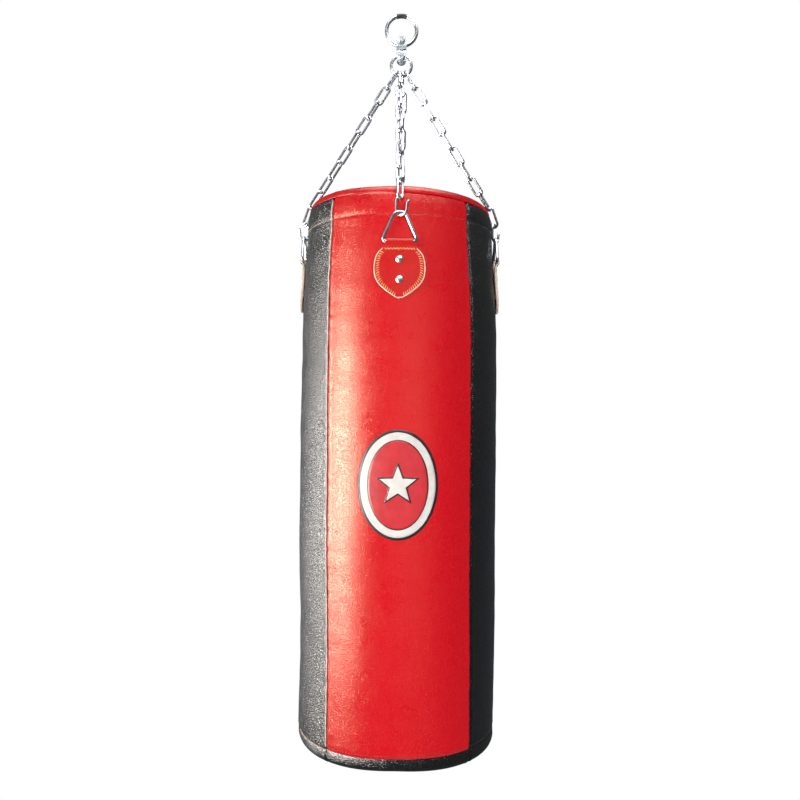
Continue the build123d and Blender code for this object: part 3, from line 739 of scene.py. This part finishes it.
slot_half = (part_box("zip_coils")[1].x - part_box("zip_coils")[0].x + 0.006) / 2
slot_r = 0.0065
lid_r = lid_high.x
lid_thick = lid_high.z - lid_low.z
flat_r = 0.124
bm = bmesh.new()
slit = bmesh.ops.create_circle(bm, segments=96, radius=slot_r)["verts"]
for v in slit:
    v.co.x += math.copysign(slot_half - slot_r, v.co.x)
bmesh.ops.create_circle(bm, segments=96, radius=lid_r)
bmesh.ops.bridge_loops(bm, edges=bm.edges)
on_rim = {v: math.hypot(*v.co.xy) > lid_r - 1e-4 for v in bm.verts}
spokes = [e for e in bm.edges if on_rim[e.verts[0]] != on_rim[e.verts[1]]]
bmesh.ops.subdivide_edges(bm, edges=spokes, cuts=16, use_grid_fill=True)
for v in bm.verts:
    away = math.hypot(v.co.x, v.co.y)
    rise = 0.0012 * (1 - (away / lid_r) ** 2)
    edge_lift = settled(math.atan2(v.co.x, -v.co.y), lid_high.z) - lid_high.z
    dents = noise.noise(Vector((v.co.x * 22, v.co.y * 22, 1.7))) * 0.0011 * (1 - away / lid_r)
    v.co.z = lid_high.z + rise + dents + edge_lift * eased((away - flat_r) / (lid_r - flat_r))
bmesh.ops.recalc_face_normals(bm, faces=bm.faces)
bm.faces.ensure_lookup_table()
if bm.faces[0].normal.z < 0:
    bmesh.ops.reverse_faces(bm, faces=bm.faces)
lid_skin = smooth_piece("lid_leather", bm, "bag", red_leather)
wall = lid_skin.modifiers.new("wall", "SOLIDIFY")
wall.thickness, wall.offset = lid_thick * 0.9, -1
soften = lid_skin.modifiers.new("soften", "BEVEL")
soften.width, soften.segments = 0.0005, 2
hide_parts("lid")
zip_stitch_pitch, zip_stitch_y = 0.0049, 0.0098
places = []
for side in (-1, 1):
    for step in range(45):
        centre = Vector(((step - 22) * zip_stitch_pitch, side * zip_stitch_y, lid_high.z + 0.0013))
        places.append((centre, Vector((1, 0, 0)), Vector((0, 0, 1))))
stitch_row("zip_stitches", places, (0.0040, 0.0010, 0.0009), red_thread, "bag")


# ---- Zip ----------------------------------------------------------------------------------------
# A heavy coil zip: two woven tapes under the slit, nylon coils that mesh along the middle, and a
# cast slider whose tab lies along it.
def weave_group():
    """Plain weave: threads per metre in, height out."""
    group, given, result = shader_group("plain_weave", {"Threads": 1200.0}, {"Height": "NodeSocketFloat"})
    place = group.nodes.new("ShaderNodeTexCoord")
    split = group.nodes.new("ShaderNodeSeparateXYZ")
    group.links.new(place.outputs["Object"], split.inputs[0])
    waves = []
    for axis in ("X", "Y", "Z"):
        scale = group.nodes.new("ShaderNodeMath")
        scale.operation = "MULTIPLY"
        wave = group.nodes.new("ShaderNodeMath")
        wave.operation = "SINE"
        group.links.new(split.outputs[axis], scale.inputs[0])
        group.links.new(given.outputs["Threads"], scale.inputs[1])
        group.links.new(scale.outputs[0], wave.inputs[0])
        waves.append(wave)
    over = group.nodes.new("ShaderNodeMath")
    over.operation = "MULTIPLY_ADD"
    under = group.nodes.new("ShaderNodeMath")
    under.operation = "MULTIPLY_ADD"
    under.inputs[1].default_value = 0.25
    under.inputs[2].default_value = 0.5
    group.links.new(waves[0].outputs[0], over.inputs[0])
    group.links.new(waves[1].outputs[0], over.inputs[1])
    group.links.new(waves[2].outputs[0], over.inputs[2])
    group.links.new(over.outputs[0], under.inputs[0])
    group.links.new(under.outputs[0], result.inputs["Height"])
    return group


plain_weave = weave_group()


def woven(name, light, dark, threads):
    """Woven cloth or webbing, with the hollows of the weave painted darker as shade."""
    finish = Finish(name, 0.85)
    finish.shader.inputs["Sheen Weight"].default_value = 0.25
    web = finish.group(plain_weave, Threads=threads)
    # Painted shade: the colour darkens where the weave is low.
    finish.between(web.outputs["Height"], dark, light, "Base Color")
    finish.bump(web.outputs["Height"], 0.0003)
    return finish.material


def stuffing(name, light, dark, patches, depth):
    """Foam or loose textile."""
    finish = Finish(name, 0.95)
    lump = finish.group(cloudy_patches, Patches=patches, Hardness=0.1)
    finish.between(lump.outputs["Mask"], light, dark, "Base Color")
    finish.bump(lump.outputs["Mask"], depth)
    return finish.material


def refinish_all(finish, *names):
    """Gives several CAD nodes one material."""
    for name in names:
        refinish(name, finish)


black_tape = woven("black_tape", (0.045, 0.045, 0.048), (0.015, 0.015, 0.016), 5200)
nylon = Finish("black_nylon", 0.35)
# Lighter cloudy patches in the black nylon's colour are painted sheen.
gloss = nylon.group(cloudy_patches, Patches=300.0, Hardness=0.2)
nylon.between(gloss.outputs["Mask"], (0.03, 0.03, 0.032), (0.012, 0.012, 0.013), "Base Color")
zip_metal = plated_steel("zip_metal", (0.62, 0.62, 0.61), (0.40, 0.40, 0.40), 0.28, 0.45, 260)
refinish("zip_tapes", black_tape)
refinish_all(zip_metal, "zip_slider", "zip_pull")

coil_low, coil_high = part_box("zip_coils")
coil_pitch = 0.0026
tooth_size = Matrix.Diagonal((0.00085, 0.0019, 0.0012, 1))
bm = bmesh.new()
for step in range(int((coil_high.x - coil_low.x) / coil_pitch)):
    for side in (-1, 1):
        x = coil_low.x + (step + (0.75 if side > 0 else 0.25)) * coil_pitch
        place = Matrix.Translation((x, side * 0.0012, (coil_low.z + coil_high.z) / 2))
        bmesh.ops.create_uvsphere(bm, u_segments=8, v_segments=5, radius=1, matrix=place @ tooth_size)
teeth = smooth_piece("zip_teeth", bm, "bag", nylon.material)
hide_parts("zip_coils")

refinish_all(woven("black_webbing", (0.09, 0.09, 0.09), (0.03, 0.03, 0.03), 3000), "hem_band")
refinish_all(woven("raw_canvas", (0.62, 0.56, 0.44), (0.40, 0.35, 0.27), 4200), "inner_sack")
grey_foam = stuffing("grey_foam", (0.62, 0.61, 0.58), (0.42, 0.41, 0.39), 900, 0.0006)
refinish_all(grey_foam, "foam_wall", "base_pad", "top_pad")
refinish_all(stuffing("shredded_textile", (0.42, 0.40, 0.44), (0.16, 0.15, 0.18), 140, 0.002), "filling")
rubber = Finish("black_rubber", 0.6)
scuff = rubber.group(cloudy_patches, Patches=220.0, Hardness=0.3)
rubber.between(scuff.outputs["Mask"], (0.022, 0.022, 0.022), (0.008, 0.008, 0.008), "Base Color")
rubber.between(scuff.outputs["Mask"], 0.5, 0.75, "Roughness")
refinish_all(rubber.material, "ring_sleeve")


# ---- Straps -------------------------------------------------------------------------------------
# Each D-ring hangs in a leather tab: one spade-shaped piece folded round the ring's bar, with its
# narrow end behind. Its edge is whipped with gold thread and two rivets take the load.
# The third colour of each strap leather is painted shade for the creases of its grain.
red_strap = leather("red_strap_leather", (0.78, 0.010, 0.010), (0.66, 0.005, 0.010), (0.48, 0.003, 0.007),
                    30, 700, 0.30, 0.00008, 0.30, 0.42, 0.50, (1.0, 0.74, 0.54))
black_strap = leather("black_strap_leather", (0.02, 0.02, 0.022), (0.01, 0.01, 0.011), (0.005, 0.005, 0.005),
                      200, 600, 0.40, 0.00020, 0.32, 0.46, 0.50)
raw_edge = Finish("raw_leather_edge", 0.7)
fray = raw_edge.group(cloudy_patches, Patches=260.0, Hardness=0.3)
raw_edge.between(fray.outputs["Mask"], (0.86, 0.74, 0.60), (0.66, 0.50, 0.38), "Base Color")
raw_edge.bump(fray.outputs["Mask"], 0.00015)
gold_thread = thread("gold_thread", (0.95, 0.56, 0.20), (0.72, 0.32, 0.08), 520)
nickel = plated_steel("nickel", (0.92, 0.91, 0.88), (0.72, 0.71, 0.69), 0.30, 0.44, 200)

ring_low, ring_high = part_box("d_ring_front")
bar_wire = ring_high.y - ring_low.y
bar_r = -(ring_low.y + ring_high.y) / 2
bar_z = ring_low.z + bar_wire / 2
strap_tip_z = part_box("strap_front")[0].z
strap_leaf = 0.0026
strap_gap = 0.0008
back_half_w, back_rise, fold_drop = 0.0200, 0.024, 0.009
strap_outline = [(0.0, 0.0225), (0.0070, 0.0240), (0.0100, 0.0270), (0.0165, 0.0334), (0.0240, 0.0370),
                 (0.0385, 0.0390), (0.0520, 0.0372), (0.0620, 0.0318), (0.0695, 0.0243), (0.0755, 0.0168),
                 (0.0795, 0.0108), (bar_z - strap_tip_z, 0.0010)]


def strap_half_width(drop):
    """Half width of the tab's front leaf, at a distance under the ring's bar."""
    if drop <= 0:
        return strap_outline[0][1]
    last = len(strap_outline) - 1
    for step in range(last):
        (d0, w0), (d1, w1) = strap_outline[step], strap_outline[step + 1]
        if drop <= d1 + 1e-9:
            before, after = strap_outline[max(step - 1, 0)], strap_outline[min(step + 2, last)]
            t = (drop - d0) / (d1 - d0)
            slope0 = (w1 - before[1]) / (d1 - before[0]) * (d1 - d0)
            slope1 = (after[1] - w0) / (after[0] - d0) * (d1 - d0)
            if step + 2 > last:
                slope1 = (w1 - w0) * 1.3
            return max(0.0006, w0 * (2 * t ** 3 - 3 * t ** 2 + 1) + slope0 * (t ** 3 - 2 * t ** 2 + t)
                       + w1 * (3 * t ** 2 - 2 * t ** 3) + slope1 * (t ** 3 - t ** 2))
    return 0.0006


def strap_place(u, r, z, wrap, turn):
    """Place of a point u to the side of the tab's middle, at radius r, wrapped on the wall by 0 to 1."""
    x = r * math.sin(u / r) * wrap + u * (1 - wrap)
    y = -(r - wrap * r * (1 - math.cos(u / r)))
    return Matrix.Rotation(turn, 3, "Z") @ Vector((x, y, z))


def strap_rows():
    """Rows of the tab from the end of its back leaf, over the bar, to its tip: r, z, wrap, half width."""
    rows = []
    fold = bar_wire / 2 + 0.0003 + strap_leaf / 2
    for step in range(7):
        z = strap_tip_z + back_rise + (bar_z - fold_drop - strap_tip_z - back_rise) * step / 6
        rows.append((along(wall_outline, z) + 0.0006 + strap_leaf / 2, z, 1.0, back_half_w))
    for step in range(9):
        turn = math.pi * (1 - step / 8)
        rows.append((bar_r + fold * math.cos(turn), bar_z + fold * math.sin(turn), 0.0, back_half_w))
    for step in range(31):
        t = step / 30
        drop = 0.005 + (bar_z - strap_tip_z - 0.005) * (t + 0.12 * math.sin(math.pi * t) ** 2)
        z = bar_z - min(drop, bar_z - strap_tip_z)
        settle = max(0.0, 1 - drop / 0.012)
        r = along(wall_outline, z) + strap_gap + strap_leaf * 1.5 + 0.0022 * settle
        rows.append((r, z, 1.0 - 0.5 * settle, strap_half_width(bar_z - z)))
    return rows


strap_columns = 20
rows = strap_rows()
for station, degrees in stations.items():
    turn = math.radians(degrees)
    bm = bmesh.new()
    bmesh.ops.create_grid(bm, x_segments=strap_columns, y_segments=len(rows) - 1, size=1.0)
    for v in bm.verts:
        r, z, wrap, half = rows[round((v.co.y + 1) / 2 * (len(rows) - 1))]
        across = math.sin(v.co.x * math.pi / 2)
        lump = noise.noise(Vector((across * 2.0, z * 60, degrees))) * 0.0004
        v.co = strap_place(across * half, r + lump, z, wrap, turn)
    bmesh.ops.recalc_face_normals(bm, faces=bm.faces)
    red = station in ("front", "back")
    tab = smooth_piece(f"tab_{station}", bm, "bag", red_strap if red else black_strap, raw_edge.material)
    wall = tab.modifiers.new("wall", "SOLIDIFY")
    wall.thickness, wall.offset, wall.material_offset_rim = strap_leaf, 0, 1
    soften = tab.modifiers.new("soften", "BEVEL")
    soften.width, soften.segments, soften.limit_method = 0.0006, 2, "ANGLE"
    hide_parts(f"strap_{station}")
    refinish(f"rivets_{station}", nickel)


def strap_edge(inset, side, drop):
    """Point on the outer face of the front tab, inset from its edge."""
    z = bar_z - drop
    r = along(wall_outline, z) + strap_gap + strap_leaf * 2
    return (side * max(0.0, strap_half_width(drop) - inset), r, z)


def edge_walk(inset, pitch, start, side):
    """Evenly spaced points down one edge of the tab, with the direction of the edge at each."""
    points, last, drop = [], None, start
    end = bar_z - strap_tip_z - inset * 0.95
    while drop < end:
        u, r, z = strap_edge(inset, side, drop)
        if last is None or math.hypot(u - last[0], z - last[2]) >= pitch:
            last = (u, r, z)
            ahead = strap_edge(inset, side, drop + 0.0004)
            points.append((u, r, z, Vector((ahead[0] - u, ahead[2] - z)).normalized()))
        drop += 0.00015
    return points


def outward(u, r, turn):
    """Way out of the wall at a point u to the side of a tab's middle."""
    return Matrix.Rotation(turn, 3, "Z") @ Vector((math.sin(u / r), -math.cos(u / r), 0))


whip_inset, whip_pitch, whip_slant = 0.0058, 0.0035, math.radians(20)
whip_start, thread_lift = 0.0150, 0.0003
cross_count, cross_pitch, cross_drop, cross_lean = 19, 0.0024, 0.0100, math.radians(48)
for station, degrees in stations.items():
    turn = math.radians(degrees)
    places, edge_points, edge_ways = [], [], []
    for side in (-1, 1):
        for u, r, z, run in edge_walk(whip_inset, whip_pitch, whip_start, side):
            lean = whip_slant * side
            flat = Vector((run.y * math.cos(lean) - run.x * math.sin(lean),
                           -run.x * math.cos(lean) - run.y * math.sin(lean)))
            centre = strap_place(u, r + thread_lift, z, 1.0, turn)
            ahead = strap_place(u + flat.x * 0.001, r + thread_lift, z + flat.y * 0.001, 1.0, turn)
            places.append((centre, (ahead - centre).normalized(), outward(u, r, turn)))
        one_side = edge_walk(0.0009, 0.0020, 0.006, side)
        if side > 0:
            one_side = one_side[::-1]
        for u, r, z, _ in one_side:
            edge_points.append(strap_place(u, r - 0.0002, z, 1.0, turn))
            edge_ways.append(outward(u, r, turn))
    stitch_row(f"whip_stitches_{station}", places, (0.0068, 0.0013, 0.0013), gold_thread, "bag")
    bead(f"tab_edge_{station}", edge_points, edge_ways, 0.0010, raw_edge.material, "bag")
    places = []
    for step in range(cross_count):
        u = (step - cross_count // 2) * cross_pitch
        z = bar_z - cross_drop
        r = along(wall_outline, z) + strap_gap + strap_leaf * 2 + thread_lift
        lean = cross_lean if step % 2 else -cross_lean
        centre = strap_place(u, r, z, 1.0, turn)
        ahead = strap_place(u + 0.001 * math.cos(lean), r, z + 0.001 * math.sin(lean), 1.0, turn)
        places.append((centre, (ahead - centre).normalized(), outward(u, r, turn)))
    stitch_row(f"cross_stitches_{station}", places, (0.0046, 0.0013, 0.0012), gold_thread, "bag")


# ---- Emblem -------------------------------------------------------------------------------------
# A plain oval vinyl patch, made in cut layers pressed on the front panel: a white ring edged in
# black, a red field inside it, and a white star edged in black.
def vinyl(name, light, dark):
    """Printed vinyl with faint scuffs, which takes up the grain of the leather under it."""
    finish = Finish(name, 0.4)
    scuffs = finish.group(cloudy_patches, Patches=70.0, Hardness=0.1)
    finish.between(scuffs.outputs["Mask"], light, dark, "Base Color")
    rub = finish.group(cloudy_patches, Patches=200.0, Hardness=0.3)
    finish.between(rub.outputs["Mask"], 0.34, 0.52, "Roughness")
    grain = finish.group(leather_grain, Pebbles=760.0, Width=0.16)
    finish.bump(grain.outputs["Height"], 0.00005)
    return finish.material


white_vinyl = vinyl("white_vinyl", (0.82, 0.80, 0.76), (0.66, 0.63, 0.59))
black_vinyl = vinyl("black_vinyl", (0.022, 0.020, 0.022), (0.012, 0.011, 0.012))
red_vinyl = vinyl("red_vinyl", (0.66, 0.020, 0.030), (0.52, 0.012, 0.020))
patch_low, patch_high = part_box("emblem_patch")
patch_z = (patch_low.z + patch_high.z) / 2
wrap_stretch = 1.09
patch_half_w = (patch_high.x - patch_low.x) / 2 * wrap_stretch
patch_half_h = (patch_high.z - patch_low.z) / 2


def press_on(name, bm, lift, thickness, finish):
    """Lays a flat shape of (x, height) on the skin and gives it its thickness."""
    for v in bm.verts:
        z = v.co.y
        r = along(wall_outline, z)
        v.co = on_skin(v.co.x / r, z, lift)[0]
    bmesh.ops.recalc_face_normals(bm, faces=bm.faces)
    bm.faces.ensure_lookup_table()
    if bm.faces[0].normal.y > 0:
        bmesh.ops.reverse_faces(bm, faces=bm.faces)
    made = smooth_piece(name, bm, "bag", finish)
    wall = made.modifiers.new("wall", "SOLIDIFY")
    wall.thickness, wall.offset = thickness, 1
    return made


def oval(name, share, lift, thickness, finish):
    """Oval layer: a square grid rounded out to an oval."""
    bm = bmesh.new()
    bmesh.ops.create_grid(bm, x_segments=36, y_segments=48, size=1.0)
    for v in bm.verts:
        x, y = v.co.x, v.co.y
        v.co = (x * math.sqrt(1 - y * y / 2) * (patch_half_w - share),
                y * math.sqrt(1 - x * x / 2) * (patch_half_h - share) + patch_z, 0)
    return press_on(name, bm, lift, thickness, finish)


def star(name, reach, lift, thickness, finish):
    """Five-pointed star layer."""
    bm = bmesh.new()
    corners = bmesh.ops.create_circle(bm, segments=10, radius=reach, cap_ends=True, cap_tris=True)["verts"]
    for v in bm.verts:
        away = v.co.length
        if away > 1e-6:
            turn = math.atan2(v.co.x, v.co.y)
            tip = round(turn / math.radians(36)) % 2 == 0
            size = reach if tip else reach * 0.42
            v.co = (math.sin(turn) * size, math.cos(turn) * size, 0)
    bmesh.ops.subdivide_edges(bm, edges=bm.edges, cuts=7, use_grid_fill=True)
    bmesh.ops.translate(bm, verts=bm.verts, vec=(0, patch_z, 0))
    return press_on(name, bm, lift, thickness, finish)


patch = oval("emblem_border", 0.0, 0.0001, 0.0005, black_vinyl)
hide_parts("emblem_patch")
oval("emblem_ring", 0.0040, 0.0006, 0.0002, white_vinyl)
oval("emblem_field_border", 0.0150, 0.0008, 0.0002, black_vinyl)
oval("emblem_field", 0.0165, 0.0010, 0.0002, red_vinyl)
star("emblem_star_border", 0.0345, 0.0012, 0.0002, black_vinyl)
star("emblem_star", 0.0285, 0.0014, 0.0002, white_vinyl)
